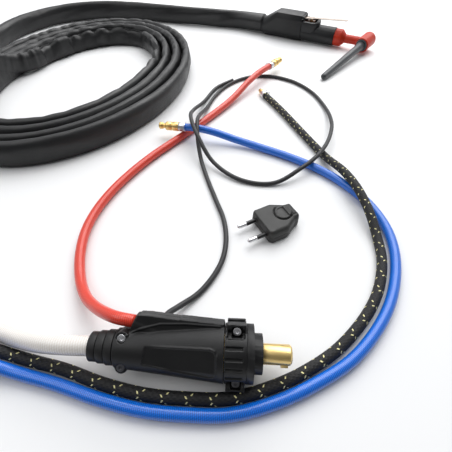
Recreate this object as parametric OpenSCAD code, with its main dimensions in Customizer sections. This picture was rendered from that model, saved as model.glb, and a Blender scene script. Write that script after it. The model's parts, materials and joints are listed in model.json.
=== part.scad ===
// Water-cooled welding torch lying on a bench with its hoses, power plug and control lead.
// Units are millimetres, +Z is up and z = 0 is the bench.

/* [Handle] */
// Outside diameter of the handle
handle_d = 28; // [25:0.5:32]
// Length of the handle
handle_len = 134; // [118:1:165]
// Wall of the handle tube
handle_wall = 2.2; // [1.6:0.1:3]
// Wall of the shrink sleeve
sleeve_wall = 0.8; // [0.5:0.1:1.2]
// Where the sleeve ends, from the rear of the handle
sleeve_end = 75; // [70:1:82]

/* [Torch head] */
// Angle between the handle and the back cap
head_angle = 102; // [95:1:112]
// Length of the neck from the handle to the head's centre
neck_len = 52; // [44:1:64]
// Outside diameter of the neck
neck_d = 13.2; // [11.6:0.2:15]
// Outside diameter of the head
head_d = 23; // [21.5:0.5:27]
// Length of the head along the tungsten
head_len = 30; // [27:1:34]
// Diameter of the metal core
core_d = 16; // [14.6:0.2:17]

/* [Back cap] */
// Length of the cap outside the head
cap_len = 126; // [40:1:150]
// Diameter of the cap at its root
cap_root_d = 13.4; // [12:0.2:14.4]
// Diameter of the cap at its tip
cap_tip_d = 8.8; // [7:0.2:11]
// Thread pitch of the cap
cap_pitch = 1.25; // [0.8:0.05:1.5]

/* [Switch] */
// Height of the switch hood above the handle's axis
hood_top = 26; // [25:0.5:29]
// Height of the switch base above the handle's axis
base_top = 19.5; // [19:0.25:20.5]
// Width of the switch base
base_w = 27; // [25:0.5:27]
// Free length of the lever from its pin
lever_len = 76; // [50:1:90]
// Thickness of the lever leaf
lever_t = 1; // [0.8:0.1:1.4]
// How far the lever turns when it is pressed, in degrees
lever_press = 4; // [2:0.5:4.5]

/* [Power plug] */
// Diameter of the current pin
pin_d = 13; // [9:0.5:13]
// Length of the current pin outside the collar
pin_len = 19; // [15:0.5:26]
// Diameter of the housing at its rear
shell_rear_d = 25; // [24:0.5:29]
// Diameter of the housing at its front
shell_front_d = 37.6; // [36:0.4:39]
// Length of the housing shells
shell_len = 70; // [64:1:88]
// Wall of the housing shells
shell_wall = 2.4; // [1.8:0.1:3]
// Length of the stepped rear boot
boot_len = 17; // [15:1:26]
// Length of the grip ring
ring_len = 14; // [12:0.5:18]
// Diameter of the front flange
flange_d = 37; // [35:0.5:39]
// Number of grip notches round the ring
notches = 10; // [6:1:14]

/* [Hoses] */
// Diameter of the power hose
power_d = 13; // [11:0.5:13]
// Diameter of the coloured water hoses
water_d = 8.6; // [7:0.2:9.4]
// Diameter of the braided gas hose
gas_d = 8.4; // [7:0.2:9]
// Diameter of the control cable
cable_d = 4.6; // [3.6:0.2:5]
// Height of the flattened hose cover
cover_h = 32; // [28:1:38]
// Thickness of the flattened hose cover
cover_t = 16; // [14:0.5:17]
// Turns in the cover's coil
coil_turns = 4; // [3:1:4]

/* [Mains plug] */
// Distance between the two pins
mains_pitch = 18.6; // [17:0.2:19]
// Diameter of the pins
mains_pin_d = 4; // [3.6:0.1:4.8]
// Length of the pins
mains_pin_len = 19; // [17:0.5:21]
// Length of the plug body
mains_len = 36; // [34:1:42]
// Width of the plug body
mains_w = 34; // [32:0.5:38]
// Height of the plug body
mains_h = 14; // [13:0.5:17]

/* [Hidden] */
$fn = 64;

fit = 0.05;         // radial clearance where one piece turns or slides in another
gap = 0.3;          // clearance between soft pieces and their neighbours
soft_fn = 32;       // facets of the children of a hull

// Places of the three assemblies on the bench
handset_at = [-12, 311];
handset_turn = -28;
connector_at = [-171, -296];
connector_turn = -2.6;
mains_at = [-51.5, -182];
mains_turn = 27.7;

// Handset
handle_r = handle_d / 2;
handle_bore = handle_r - handle_wall;
handle_z = handle_r + gap + sleeve_wall;
head_x = handle_len + neck_len;
collar_len = 13;
collar_r = handle_r - 1;
taper_len = 5;
neck_r = neck_d / 2;
tube_r = 4;
head_r = head_d / 2;
core_r = core_d / 2;
core_front = head_len / 2 - 2;
core_rear = head_len / 2 - 3;
seat_r = 4.8;
seat_len = 14;
spigot_r = 5.2;
spigot_len = 9;
liner_r = core_r + 1.3;
cable_r = 6.5;
union_len = 28;
union_x = handle_len - 42;
adaptor_len = 14;
insert_len = 14;

// Back cap: it starts behind the head and its tip stays just clear of the bench
cap_x = head_len / 2 + gap;
cap_tip_r = cap_tip_d / 2;
cap_root_r = cap_root_d / 2;
cap_end = cap_x + cap_len;
tip_lift = 0.9;
handset_roll = asin((handle_z - cap_tip_r - tip_lift) / ((cap_end - cap_tip_r) * sin(head_angle)));
seal_r = spigot_r + 1;

// Switch on top of the handle
base_x0 = 28;
nose_end = sleeve_end + 30;
hood_x0 = base_x0 + 2;
hood_w = 20;
hood_x1 = sleeve_end + 3;
hood_wall = 1.8;
lever_x = sleeve_end - 1;
knuckle_r = 2;
lever_z = hood_top - hood_wall - knuckle_r - 0.5;
lever_w = 5;
lever_rise = 4.5;
lever_pin_r = 1;
plunger_x = lever_x + 14;
plunger_r = 2.2;
switch_l = 13;
switch_w = 6.4;
switch_floor = handle_r + 0.4;
switch_h = base_top - switch_floor - 0.4;

// Power plug, measured from the rear of its boot
shell_x1 = boot_len + shell_len;
ring_x0 = shell_x1 + gap;
ring_x1 = ring_x0 + ring_len;
flange_t = 4.4;
collar_t = 5.6;
collar_x1 = ring_x1 + flange_t + collar_t;
pin_tip_x = collar_x1 + pin_len;
pin_r = pin_d / 2;
shank_r = pin_r + 1.5;
shank_x0 = boot_len + 43;
shoulder_x = collar_x1 - 3;
flange_r = flange_d / 2;
spigot_ring_r = flange_r - 3.6;
panel_depth = 1.5;
shell_rear_r = shell_rear_d / 2;
shell_front_r = shell_front_d / 2;
ring_r = shell_front_r - gap;
connector_roll = 41;
connector_z = max(shell_front_r, ring_r) + 0.4;
hose_r = power_d / 2;
tail_x = boot_len;
branch_angle = 160;
branch_at = [boot_len + 11, 17.5];
branch_w = water_d + 5;
fairing_w = branch_w - 1;
block_r = 6.4;
key_l = 4.8;
lug_top = 20.8;
lug_low = -6;
lug_high = 10;
screw_r = 1.5;
screw_head_r = 2.6;
nut_r = 3;
screw_spots = [[boot_len + 5.5, shell_rear_r - 3.4], [boot_len + 5.5, 3.4 - shell_rear_r],
    [ring_x0 + 7.5, lug_top - 4.6], [ring_x0 + 7.5, 4.6 - lug_top]];
screw_tops = [9.6, 9.6, lug_high - 1.4, lug_high - 1.4];
gland_x = boot_len + 27;
gland_r = 3.8;
gland_out = 19;
gland_drop = 6;

// Fittings on the hose ends
coupler_len = 24;
clamp_len = 7;

// Mains plug
mains_z = mains_h / 2;
sleeve_len = 10;

// Hose cover: one strand from the handle, an oval coil, and a tail over the coil to the power plug
cover_z = cover_h / 2 + 0.2;
coil_at = [-296, 109];
coil_a = 206;
coil_b = 157;
coil_turn = 71;
coil_pitch = cover_t + 0.3;
coil_w = coil_turns * coil_pitch + 4;

// Routes, chosen by hand, from each cord's exit to its end
lead_path = [[-12.5, 311.3, 16.2], [-50, 329, 16.2], [-105, 342, 16.2], [-175, 359, 16.2],
    [-255, 378, 16.2], [-335, 385, 16.2], [-405, 362, 16.2], [-455, 308, 16.2],
    [-475, 243, 16.2], [-469, 178, 16.2], [-462.5, 120, 16.2]];
tail_path = [[-398, 128, 22], [-412, 88, 38], [-433, 50, 49], [-451, 8, 49], [-460, -34, 40],
    [-460, -78, 24], [-450, -120, 16.2], [-429, -164, 16.2], [-397, -203, 16.2],
    [-357, -232, 16.2], [-313, -251, 16.2]];
power_path = [[-188, -295.4, 19.4], [-203, -293.5, 17.2], [-221, -289, 12.4],
    [-248, -279.5, 8.4], [-275, -268, 6.9], [-312.5, -251.2, 6.9]];
blue_path = [[-311.4, -251.6, 27.4], [-281, -276, 25.8], [-257, -299, 16.8], [-227, -307.4, 6.4],
    [-194, -315.4, 4.6], [-163, -324.6, 4.6], [-135, -330.8, 4.6], [-108, -333.2, 4.6],
    [-81, -333.2, 4.6], [-53, -326.8, 4.6], [-25, -315.6, 4.6], [7, -297, 4.6],
    [41, -260, 4.6], [60, -218, 4.6], [64, -184, 4.6], [57, -152, 4.6], [42, -125, 4.6],
    [21, -101, 4.6], [-9, -78, 4.6], [-41, -60, 5], [-71, -47, 7.4], [-99, -39, 13],
    [-119, -34.5, 15.2], [-139, -31, 14.6]];
gas_path = [[-311.6, -251.4, 18.3], [-277, -272.6, 17.6], [-253, -290.4, 12.8], [-223, -298.6, 5],
    [-191, -306.2, 4.5], [-163, -315.3, 4.5], [-135, -321.6, 4.5], [-108, -324, 4.5],
    [-81, -324, 4.5], [-57, -318.4, 4.5], [-31, -308, 4.5], [-1, -289.4, 4.5],
    [31.8, -254.6, 4.5], [48, -220, 4.5], [52, -192, 5], [50, -164, 11.4], [45.5, -138, 14.4],
    [39, -112, 13.2], [28, -76, 5.4], [10, -29, 4.5], [-10, 23, 4.5], [-31, 70, 4.5]];
red_path = [[-154, -282, 31.2], [-165, -276, 26], [-177, -267, 18], [-189, -255, 10.4],
    [-200, -237, 5.2], [-208, -211, 4.6], [-210.5, -184, 4.6], [-207, -158, 4.6],
    [-198, -131, 4.6], [-184, -103, 4.6], [-165, -73, 4.6], [-141, -42, 4.6],
    [-107, 3, 4.6], [-75, 49, 6.4], [-51, 87, 12.4], [-34, 112, 14.6], [-13, 139, 14.2]];
cable_path = [[-127, -278.6, 13.2], [-126, -270, 11], [-119, -261, 6], [-105, -248, 2.6],
    [-94, -233, 2.6], [-86, -215, 2.6], [-83, -194, 2.6], [-85, -170, 2.6], [-93, -143, 2.6],
    [-103, -110, 2.6], [-111, -80, 5.4], [-115, -58, 15], [-116.5, -34, 22.8], [-116, -6, 14.6],
    [-109, 30, 3.8], [-97, 68, 2.6], [-77, 101, 2.6], [-49, 122, 2.6], [-17, 125.6, 2.6],
    [17, 108, 2.6], [40, 74, 2.6], [50, 30, 3.8], [49, 0, 8], [44, -28, 12], [32, -60, 12.4],
    [15, -86, 12.6], [-3, -103, 11], [-33, -118, 3], [-67, -113, 2.8], [-97, -88, 7],
    [-115, -60, 22.6], [-124.5, -26, 25], [-124, 6, 15], [-113, 48, 3.6], [-96, 90, 2.6],
    [-73, 113, 2.6]];

// ---- Shared shapes ----

function unit(v) = v / norm(v);
function heading(p, i) = unit(p[min(i + 1, len(p) - 1)] - p[max(i - 1, 0)]);

// One ring of a swept cord: w across and h tall, square to the route
function ring_points(p, i, w, h, n) =
    let (t = heading(p, i), side = unit(cross(t, [0, 0, 1])), up = cross(side, t))
    [for (k = [0:n - 1]) let (a = 360 * k / n) p[i] + side * cos(a) * w / 2 + up * sin(a) * h / 2];

// A cord swept through its route's own points
module cord(p, w, h, n = 10) {
    rings = len(p);
    points = [for (i = [0:rings - 1]) each ring_points(p, i, w, h, n)];
    walls = [for (i = [0:rings - 2], k = [0:n - 1])
        let (a = i * n + k, b = i * n + (k + 1) % n) each [[a, b, b + n], [a, b + n, a + n]]];
    ends = [[for (k = [n - 1:-1:0]) k], [for (k = [0:n - 1]) (rings - 1) * n + k]];
    polyhedron(points, concat([for (f = walls) [f[2], f[1], f[0]]],
        [for (e = ends) [for (k = [len(e) - 1:-1:0]) e[k]]]));
}

// A point of the power plug on the bench, from its place along and across the plug
function connector_point(p) = let (y = p[1] * cos(connector_roll))
    [connector_at[0] + p[0] * cos(connector_turn) - y * sin(connector_turn),
        connector_at[1] + p[0] * sin(connector_turn) + y * cos(connector_turn),
        connector_z + p[1] * sin(connector_roll)];

// A point on the axis of the red hose's branch, x out of its mouth
function branch_point(x) = connector_point(branch_at + x * [cos(branch_angle), sin(branch_angle)]);

// A cylinder or a ring along X, from x0 to x1
module rod(x0, x1, r, r2 = undef) {
    translate([x0, 0, 0]) rotate([0, 90, 0])
        cylinder(h = x1 - x0, r1 = r, r2 = is_undef(r2) ? r : r2);
}

module ring(x0, x1, r_in, r_out) {
    difference() {
        rod(x0, x1, r_out);
        rod(x0 - 1, x1 + 1, r_in);
    }
}

// A turned piece about X, from its half outline of [x, r] points
module turned(outline) {
    rotate([0, 90, 0]) rotate_extrude() polygon([for (p = outline) [p[1], p[0]]]);
}

module block(x0, x1, w, z0, z1) {
    translate([x0, -w / 2, z0]) cube([x1 - x0, w, z1 - z0]);
}

module on_handset() {
    translate([handset_at[0], handset_at[1], handle_z])
        rotate([0, 0, handset_turn]) rotate([handset_roll, 0, 0]) children();
}

// Inside this, +X runs from the head's centre out along the back cap
module on_head() {
    on_handset() translate([head_x, 0, 0]) rotate([0, 0, -head_angle]) children();
}

// Inside this, +X runs along the plug, +Y towards its hose branch and +Z towards its panel side
module on_connector() {
    translate([connector_at[0], connector_at[1], connector_z])
        rotate([0, 0, connector_turn]) rotate([connector_roll, 0, 0]) children();
}

module on_mains() {
    translate([mains_at[0], mains_at[1], 0]) rotate([0, 0, mains_turn]) children();
}

// Inside this, +X leaves a hose's last point along its last stretch
module on_end(p) {
    e = p[len(p) - 1];
    d = e - p[len(p) - 2];
    translate(e) rotate([0, -asin(d[2] / norm(d)), atan2(d[1], d[0])]) children();
}

// ---- Handset ----

module handle_shell() {
    color("#222224") on_handset() ring(0, handle_len, handle_bore, handle_r);
}

module rear_adaptor() {
    color("#3a3a3a") on_handset() ring(0, adaptor_len, cable_r + fit, handle_bore);
}

module inner_cable() {
    color("#7a3a2a") on_handset() rod(0, union_x, cable_r);
}

module power_union() {
    color("#c8a040") on_handset() difference() {
        turned([[union_x, 0], [union_x, cable_r], [union_x + 6, cable_r], [union_x + 8, 5.4],
            [union_x + union_len, 5.4], [union_x + union_len, 0]]);
        rod(union_x + union_len - 8, union_x + union_len + 1, tube_r);
    }
}

module front_insert() {
    color("#4a4a4a") on_handset() ring(handle_len - insert_len, handle_len, tube_r + fit, handle_bore);
}

module neck_tube() {
    color("#b87333") on_handset()
        ring(union_x + union_len - 8, head_x - core_r + 1.5, tube_r - 1.4, tube_r);
}

module head_core() {
    color("#c09048") difference() {
        on_head() rod(-core_front, core_rear, core_r);
        on_head() rod(-core_front - 1, seat_len - core_front, seat_r);
        on_head() rod(-core_front, core_rear, 1.7);
        on_head() rod(core_rear - spigot_len - 0.6, core_rear + 1, spigot_r);
        on_handset() rod(handle_len, head_x - core_r + 1.5, tube_r + fit);
    }
}

module head_boot() {
    color("#c8452a") difference() {
        union() {
            on_handset() turned([[handle_len, 0], [handle_len, collar_r],
                [handle_len + collar_len - 2, collar_r], [handle_len + collar_len, collar_r - 1.5],
                [handle_len + collar_len + taper_len, neck_r], [head_x, neck_r], [head_x, 0]]);
            on_head() rod(-head_len / 2, head_len / 2, head_r);
        }
        on_handset() rod(handle_len - 1, head_x, tube_r + fit);
        on_head() rod(-head_len, head_len, core_r + fit);
        on_head() rod(core_rear, head_len, liner_r);
    }
}

module cup_gasket() {
    color("white") on_head() ring(-head_len / 2 - 1, -core_front, seat_r + 0.8, core_r);
}

module cap_liner() {
    color("#6f8084") on_head() ring(core_rear, head_len / 2 - 0.4, seal_r + gap, liner_r);
}

module cap_seal() {
    color("#1a1a1a") on_head() ring(core_rear + gap, core_rear + gap + 1.8, spigot_r, seal_r);
}

// The cap's half outline: threaded spigot, neck, long taper and round tip
cap_outline = concat([[core_rear - spigot_len, 0], [core_rear - spigot_len, spigot_r - fit],
    [core_rear + gap, spigot_r - fit], [cap_x, spigot_r - fit],
    [cap_x, cap_root_r - 0.8], [cap_x + 0.8, cap_root_r], [cap_x + 22, cap_root_r - 0.5]],
    [for (a = [90:-10:0]) [cap_end - cap_tip_r + cap_tip_r * cos(a), cap_tip_r * sin(a)]]);

module back_cap() {
    color("#4a4c4e") on_head() difference() {
        turned(cap_outline);
        rod(core_rear - spigot_len - 1, cap_end - 14, 1.6);
    }
}

// The section that the sleeve is shrunk over, grown by g
module sleeve_section(g, fn = soft_fn) {
    offset(r = g, $fn = fn) hull() {
        circle(r = handle_r, $fn = fn);
        translate([-base_top, -base_w / 2]) square([base_top, base_w]);
        translate([-hood_top, -hood_w / 2]) square([hood_top, hood_w]);
    }
}

module sleeve_solid(x0, x1, g) {
    translate([base_x0, 0, 0]) rotate([0, 90, 0])
        linear_extrude(x1 - base_x0) sleeve_section(g);
    hull() {
        translate([base_x0, 0, 0]) rotate([0, 90, 0]) linear_extrude(0.1) sleeve_section(g);
        translate([x0, 0, 0]) rotate([0, 90, 0]) cylinder(h = 6, r = handle_r + g, $fn = soft_fn);
    }
}

module sleeve() {
    color("#1c1c1e") on_handset() difference() {
        sleeve_solid(6, sleeve_end, gap + sleeve_wall);
        sleeve_solid(5, sleeve_end + 1, gap);
    }
}

module switch_base() {
    color("#232325") on_handset() difference() {
        union() {
            block(base_x0, nose_end - base_w / 2, base_w, 3, base_top);
            translate([nose_end - base_w / 2, 0, 3]) cylinder(h = base_top - 3, r = base_w / 2);
        }
        rod(base_x0 - 1, nose_end + 1, handle_r + fit);
        block(sleeve_end + 4, nose_end - 6, 17, switch_floor, base_top + 1);
        block(base_x0 - 1, sleeve_end + 5, 4, switch_floor, switch_floor + 3);
    }
}

module switch_hood() {
    color("#262628") on_handset() difference() {
        block(hood_x0, hood_x1, hood_w, base_top, hood_top);
        block(hood_x0 + 3, hood_x1 + 1, hood_w - 2 * hood_wall - 1, base_top - 1,
            hood_top - hood_wall);
        translate([lever_x, hood_w, lever_z]) rotate([90, 0, 0])
            cylinder(h = 2 * hood_w, r = lever_pin_r);
    }
}

module micro_switch() {
    color("#5a3a22") on_handset() difference() {
        block(plunger_x - switch_l / 2, plunger_x + switch_l / 2, switch_w, switch_floor,
            switch_floor + switch_h);
        translate([plunger_x, 0, switch_floor + 0.8]) cylinder(h = switch_h, r = plunger_r + fit);
    }
}

// Height of the lever's underside above the plunger
function lever_under(x) = lever_z + (x - lever_x) * tan(lever_rise) - lever_t / 2;

module switch_plunger() {
    z0 = switch_floor + 0.8 + 1.6;
    color("#a8742c") on_handset() translate([plunger_x, 0, z0])
        cylinder(h = lever_under(plunger_x - plunger_r) - gap - z0, r = plunger_r);
}

module switch_wires() {
    color("#803030") on_handset() for (s = [-1, 1]) translate([0, s, switch_floor + 1.1])
        rod(base_x0, plunger_x - switch_l / 2, 0.9);
}

module lever_pin() {
    color("silver") on_handset() translate([lever_x, hood_w / 2, lever_z]) rotate([90, 0, 0])
        cylinder(h = hood_w, r = lever_pin_r);
}

module lever_blade() {
    color("#cfc8bc") on_handset() translate([lever_x, 0, lever_z]) rotate([0, -lever_rise, 0])
        difference() {
            union() {
                block(0, lever_len * 0.24, lever_w + 3, -lever_t / 2, lever_t / 2);
                block(lever_len * 0.2, lever_len - lever_w / 2, lever_w, -lever_t / 2, lever_t / 2);
                translate([lever_len - lever_w / 2, 0, -lever_t / 2])
                    cylinder(h = lever_t, r = lever_w / 2);
                rotate([90, 0, 0]) translate([0, 0, -lever_w]) cylinder(h = 2 * lever_w, r = knuckle_r);
            }
            rotate([90, 0, 0]) translate([0, 0, -hood_w])
                cylinder(h = 2 * hood_w, r = lever_pin_r + fit);
        }
}

// ---- Power plug ----

module rear_boot() {
    step = boot_len / 3;
    color("#1e1e20") on_connector() difference() {
        union() for (i = [0:2]) {
            rod(i * step, (i + 1) * step - 0.6, hose_r + 3 + i * 0.9);
            rod(i * step, (i + 1) * step, hose_r + 2.2 + i * 0.9);
        }
        rod(-1, boot_len + 1, hose_r + 0.1);
    }
}

module swage_ring() {
    color("#b0b0b0") on_connector() ring(tail_x, tail_x + 7, 5 + fit, hose_r - gap);
}

// Direction and foot of the branch that the red hose leaves by
module on_branch() {
    translate([branch_at[0], branch_at[1], 0]) rotate([0, 0, branch_angle]) children();
}

module water_block() {
    color("#c8a040") on_connector() difference() {
        union() {
            rod(tail_x, tail_x + 9, 5);
            rod(tail_x + 8, shank_x0, block_r);
            rod(shank_x0 - 1, shank_x0 + 12, 6);
            on_branch() rod(-26, -6, 3);
        }
        rod(tail_x - 1, tail_x + 30, 2.5);
    }
}

module branch_clip() {
    color("#b0b0b0") on_connector() on_branch() ring(-11, -6.4, 3 + fit, water_d / 2);
}

// Outside of the housing: a cone, the branch's fairing and the branch's tube
module housing_form() {
    rod(boot_len + gap, shell_x1, shell_rear_r, shell_front_r);
    on_branch() rod(-20, 0, branch_w / 2);
    translate([0, 0, -fairing_w / 2]) linear_extrude(fairing_w)
        polygon([[branch_at[0] - 3, 8], [branch_at[0] + 3, 23.2], [branch_at[0] + 10, 23.2],
            [shell_x1 - 8, shell_front_r + 0.3], [shell_x1 - 8, 8]]);
    for (s = [-1, 1]) translate([screw_spots[0][0], s * screw_spots[0][1], -7])
        cylinder(h = 16, r = nut_r + 1.2);
}

module housing_void() {
    rod(boot_len - 1, shell_x1 - 2, shell_rear_r - shell_wall - 1.4, shell_front_r - shell_wall);
    rod(shell_x1 - 3, shell_x1 + 1, shell_front_r - shell_wall);
    on_branch() rod(-24, 1, water_d / 2 + 0.1);
    rotate([-connector_roll, 0, 0]) translate([gland_x, 0, -gland_drop]) rotate([-90, 0, 0])
        cylinder(h = 30, r = gland_r);
    for (i = [0, 1]) translate([screw_spots[i][0], screw_spots[i][1], 0]) {
        translate([0, 0, -20]) cylinder(h = 40, r = screw_r + fit);
        translate([0, 0, -20]) cylinder(h = 20 + lug_low + 2.6, r = nut_r + 0.2);
    }
}

module housing_half(upper) {
    on_connector() difference() {
        housing_form();
        housing_void();
        translate([0, -60, upper ? -60 : 0]) cube([160, 120, 60]);
        if (upper) for (i = [0, 1]) translate([screw_spots[i][0], screw_spots[i][1], screw_tops[i] - 1.4])
            cylinder(h = 12, r = screw_head_r + 0.2);
        if (upper) housing_panel();
    }
}

// Flat grip panel on the side that faces up, parallel to the cone's side
module housing_panel() {
    slope = atan((shell_front_r - shell_rear_r) / (shell_len - gap));
    translate([shell_x1, 0, shell_front_r - panel_depth]) rotate([0, -slope, 0])
        linear_extrude(12) polygon([[-51, -5], [-49, 6.6], [-6, 7.4], [-4, 5.4], [-4, -10.4], [-6, -11]]);
}

module housing_upper() {
    color("#2a2a2c") housing_half(true);
}

module housing_lower() {
    color("#2a2a2c") housing_half(false);
}

module housing_screws() {
    color("#c8ccd0") on_connector() for (i = [0:3])
        translate([screw_spots[i][0], screw_spots[i][1], screw_tops[i] - 1.4]) difference() {
            union() {
                cylinder(h = 1.6, r = screw_head_r);
                translate([0, 0, lug_low + 1.6 - screw_tops[i]])
                    cylinder(h = screw_tops[i] - lug_low, r = screw_r);
            }
            translate([0, 0, 0.8]) cylinder(h = 2, r = 1.2, $fn = 6);
        }
}

module housing_nuts() {
    color("#c8ccd0") on_connector() for (i = [0:3])
        translate([screw_spots[i][0], screw_spots[i][1], lug_low + 0.2]) difference() {
            cylinder(h = 2.2, r = nut_r, $fn = 6);
            translate([0, 0, -1]) cylinder(h = 5, r = screw_r + fit);
        }
}

module grip_ring() {
    color("#1f1f21") on_connector() difference() {
        union() {
            rod(ring_x0, ring_x1, ring_r);
            for (s = [0, 180]) rotate([s, 0, 0])
                translate([ring_x0 + 1.2, 8, s == 0 ? lug_low : -lug_high])
                    cube([ring_len - 2, lug_top - 8, lug_high - lug_low]);
        }
        rod(ring_x0 - 1, ring_x1 + 1, spigot_ring_r + fit);
        for (k = [0:notches - 1]) rotate([k * 360 / notches + 18, 0, 0])
            if (abs(sin(k * 360 / notches + 18)) > 0.4)
                translate([ring_x0 + 1.6, -2.6, ring_r - 1.6]) cube([ring_len - 3.2, 5.2, 4]);
        for (i = [2, 3]) translate([screw_spots[i][0], screw_spots[i][1], 0]) {
            translate([-3.3, -3.3, screw_tops[i] - 1.4]) cube([6.6, 6.6, 6]);
            translate([0, 0, -20]) cylinder(h = 40, r = screw_r);
            translate([-3.3, -3.3, lug_low - 1]) cube([6.6, 6.6, 3.4]);
        }
    }
}

module front_collar() {
    color("#222224") on_connector() difference() {
        union() {
            rod(ring_x0, ring_x1, spigot_ring_r);
            rod(ring_x1, ring_x1 + flange_t, flange_r);
            rod(ring_x1 + flange_t, collar_x1, pin_r + 6.2);
        }
        rod(ring_x0 - 1, shoulder_x, shank_r + fit);
        rod(ring_x0, collar_x1 + 1, pin_r + fit);
        for (i = [2, 3]) translate([screw_spots[i][0], screw_spots[i][1], -20])
            cylinder(h = 40, r = screw_head_r + 1.4);
    }
}

module pin_nut() {
    color("#c8a040") on_connector() difference() {
        translate([ring_x0 - 6, 0, 0]) rotate([0, 90, 0]) cylinder(h = 6, r = shank_r + 4, $fn = 6);
        rod(ring_x0 - 7, ring_x0 + 1, shank_r + fit);
    }
}

module power_pin() {
    color("#d4a93c") on_connector() difference() {
        union() {
            turned([[shank_x0, 0], [shank_x0, shank_r], [shoulder_x, shank_r],
                [shoulder_x, pin_r - gap], [collar_x1 + gap, pin_r - gap], [collar_x1 + gap, pin_r],
                [pin_tip_x - 1.2, pin_r], [pin_tip_x, pin_r - 1.2], [pin_tip_x, 0]]);
            translate([pin_tip_x - 2 - key_l, -pin_r - 1.7, -1.2]) cube([key_l, 4, 2.4]);
        }
        rod(shank_x0 - 1, shank_x0 + 12, 6);
    }
}

module cable_gland() {
    color("#1a1a1c") on_connector() rotate([-connector_roll, 0, 0])
        translate([gland_x, 0, -gland_drop]) rotate([-90, 0, 0]) difference() {
            translate([0, 0, 10]) cylinder(h = gland_out - 10, r1 = gland_r, r2 = gland_r - 0.6);
            translate([0, 0, 9]) cylinder(h = gland_out, r = cable_d / 2 + 0.1);
        }
}

// ---- Hose ends ----

// Quick-coupler nipple on the end of a hose
module nipple() {
    turned([[0, 0], [0, 5.2], [7, 5.2], [7, 4.2], [8.5, 4.2], [8.5, 5], [15, 5], [16.5, 3],
        [19, 3], [20, 4], [23, 4], [coupler_len, 3.2], [coupler_len, 0]]);
}

// Ear clamp round the last stretch of a hose
module ear_clamp(d) {
    ring(-clamp_len - 1, -1, d / 2 + 0.05, d / 2 + 0.9);
    translate([-clamp_len - 1, d / 2 + 0.7, -2.2]) cube([clamp_len, 2.4, 4.4]);
}

module red_coupler() {
    color("#c8a040") on_end(red_path) nipple();
}

module red_clamp() {
    color("#c4c8cc") on_end(red_path) rotate([20, 0, 0]) ear_clamp(water_d);
}

module blue_coupler() {
    color("#c8a040") on_end(blue_path) nipple();
}

module blue_clamp() {
    color("#c4c8cc") on_end(blue_path) rotate([25, 0, 0]) ear_clamp(water_d);
}

module gas_nipple() {
    color("#c8a040") on_end(gas_path) turned([[0, 0], [0, 3.6], [4, 3.6], [4, 2.4], [9, 2.4], [9, 0]]);
}

module gas_clamp() {
    color("#8c8c84") on_end(gas_path) rotate([155, 0, 0]) ear_clamp(gas_d);
}

// Band round the cover's open end
module cover_band() {
    color("#101012") on_end(tail_path) translate([-26, 0, 0]) rotate([0, 90, 0]) difference() {
        scale([1, 1, 1]) linear_extrude(14) square([cover_h + 0.1, cover_t + 3], center = true);
        translate([0, 0, -1]) linear_extrude(16) square([cover_h - 0.8, cover_t + 0.6], center = true);
    }
}

// ---- Mains plug ----

module mains_outline(inset) {
    w = mains_w / 2 - inset;
    polygon([[inset, -w + 1], [inset, w - 1], [18, w], [mains_len - 4, w - 6],
        [mains_len - inset, w - 10.5], [mains_len - inset, 10.5 - w], [mains_len - 4, 6 - w], [18, -w]]);
}

module mains_half(z0, z1, floor_z) {
    difference() {
        translate([0, 0, z0]) linear_extrude(z1 - z0) mains_outline(0);
        translate([0, 0, floor_z]) linear_extrude(mains_h / 2 - 1.8) mains_outline(2);
        for (s = [-1, 1]) translate([0, s * mains_pitch / 2, mains_z])
            rod(-1, 14, mains_pin_d / 2 + fit);
        translate([mains_len, 0, mains_z]) rod(-4, 4, 2.5);
        translate([20, 0, -1]) cylinder(h = mains_h + 2, r = 1.6);
        translate([20, 0, mains_h - 2.4]) cylinder(h = 4, r = 5.6);
    }
}

module mains_upper() {
    color("#4c4c4e") on_mains() mains_half(mains_z, mains_h, mains_z);
}

module mains_lower() {
    color("#464648") on_mains() mains_half(0, mains_z, 1.8);
}

module mains_pins() {
    color("#c8ccd0") on_mains() for (s = [-1, 1]) translate([0, s * mains_pitch / 2, mains_z]) {
        rod(-mains_pin_len + mains_pin_d / 2, 12, mains_pin_d / 2 - 0.35);
        rod(-mains_pin_len + mains_pin_d / 2, -sleeve_len, mains_pin_d / 2);
        translate([-mains_pin_len + mains_pin_d / 2, 0, 0]) sphere(r = mains_pin_d / 2);
    }
}

module mains_sleeves() {
    color("#161618") on_mains() for (s = [-1, 1]) translate([0, s * mains_pitch / 2, mains_z])
        ring(-sleeve_len, -gap, mains_pin_d / 2 - 0.35, mains_pin_d / 2);
}

module cord_clamp() {
    color("#3c3c3e") on_mains() translate([20, 0, mains_h - 2.4]) difference() {
        cylinder(h = 1.6, r = 5.4);
        translate([4.4, -6, -1]) cube([4, 12, 4]);
        translate([0, 0, -1]) cylinder(h = 4, r = 1.6);
    }
}

module mains_screw() {
    color("#9a9ca0") on_mains() translate([20, 0, 0]) {
        translate([0, 0, 1.4]) cylinder(h = mains_h - 2.2, r = 1.55);
        translate([0, 0, mains_h - 0.8]) cylinder(h = 0.8, r = 2.6);
    }
}

// ---- Cords ----

module oval(a, b) {
    polygon([for (k = [0:71]) [a * cos(5 * k), b * sin(5 * k)]]);
}

module cover_lead() {
    color("#1b1b1d") cord(lead_path, cover_t, cover_h);
}

module cover_coil() {
    color("#1b1b1d") translate([coil_at[0], coil_at[1], 0]) rotate([0, 0, coil_turn])
        linear_extrude(cover_h) difference() {
            oval(coil_a, coil_b);
            oval(coil_a - coil_w, coil_b - coil_w);
        }
}

module cover_tail() {
    color("#1b1b1d") cord(tail_path, cover_t, cover_h);
}

module power_hose() {
    color("#e4ded2") cord(concat([connector_point([tail_x - gap, 0])], power_path), power_d, power_d);
}

module blue_hose() {
    color("#1c74d8") cord(blue_path, water_d, water_d);
}

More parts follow.
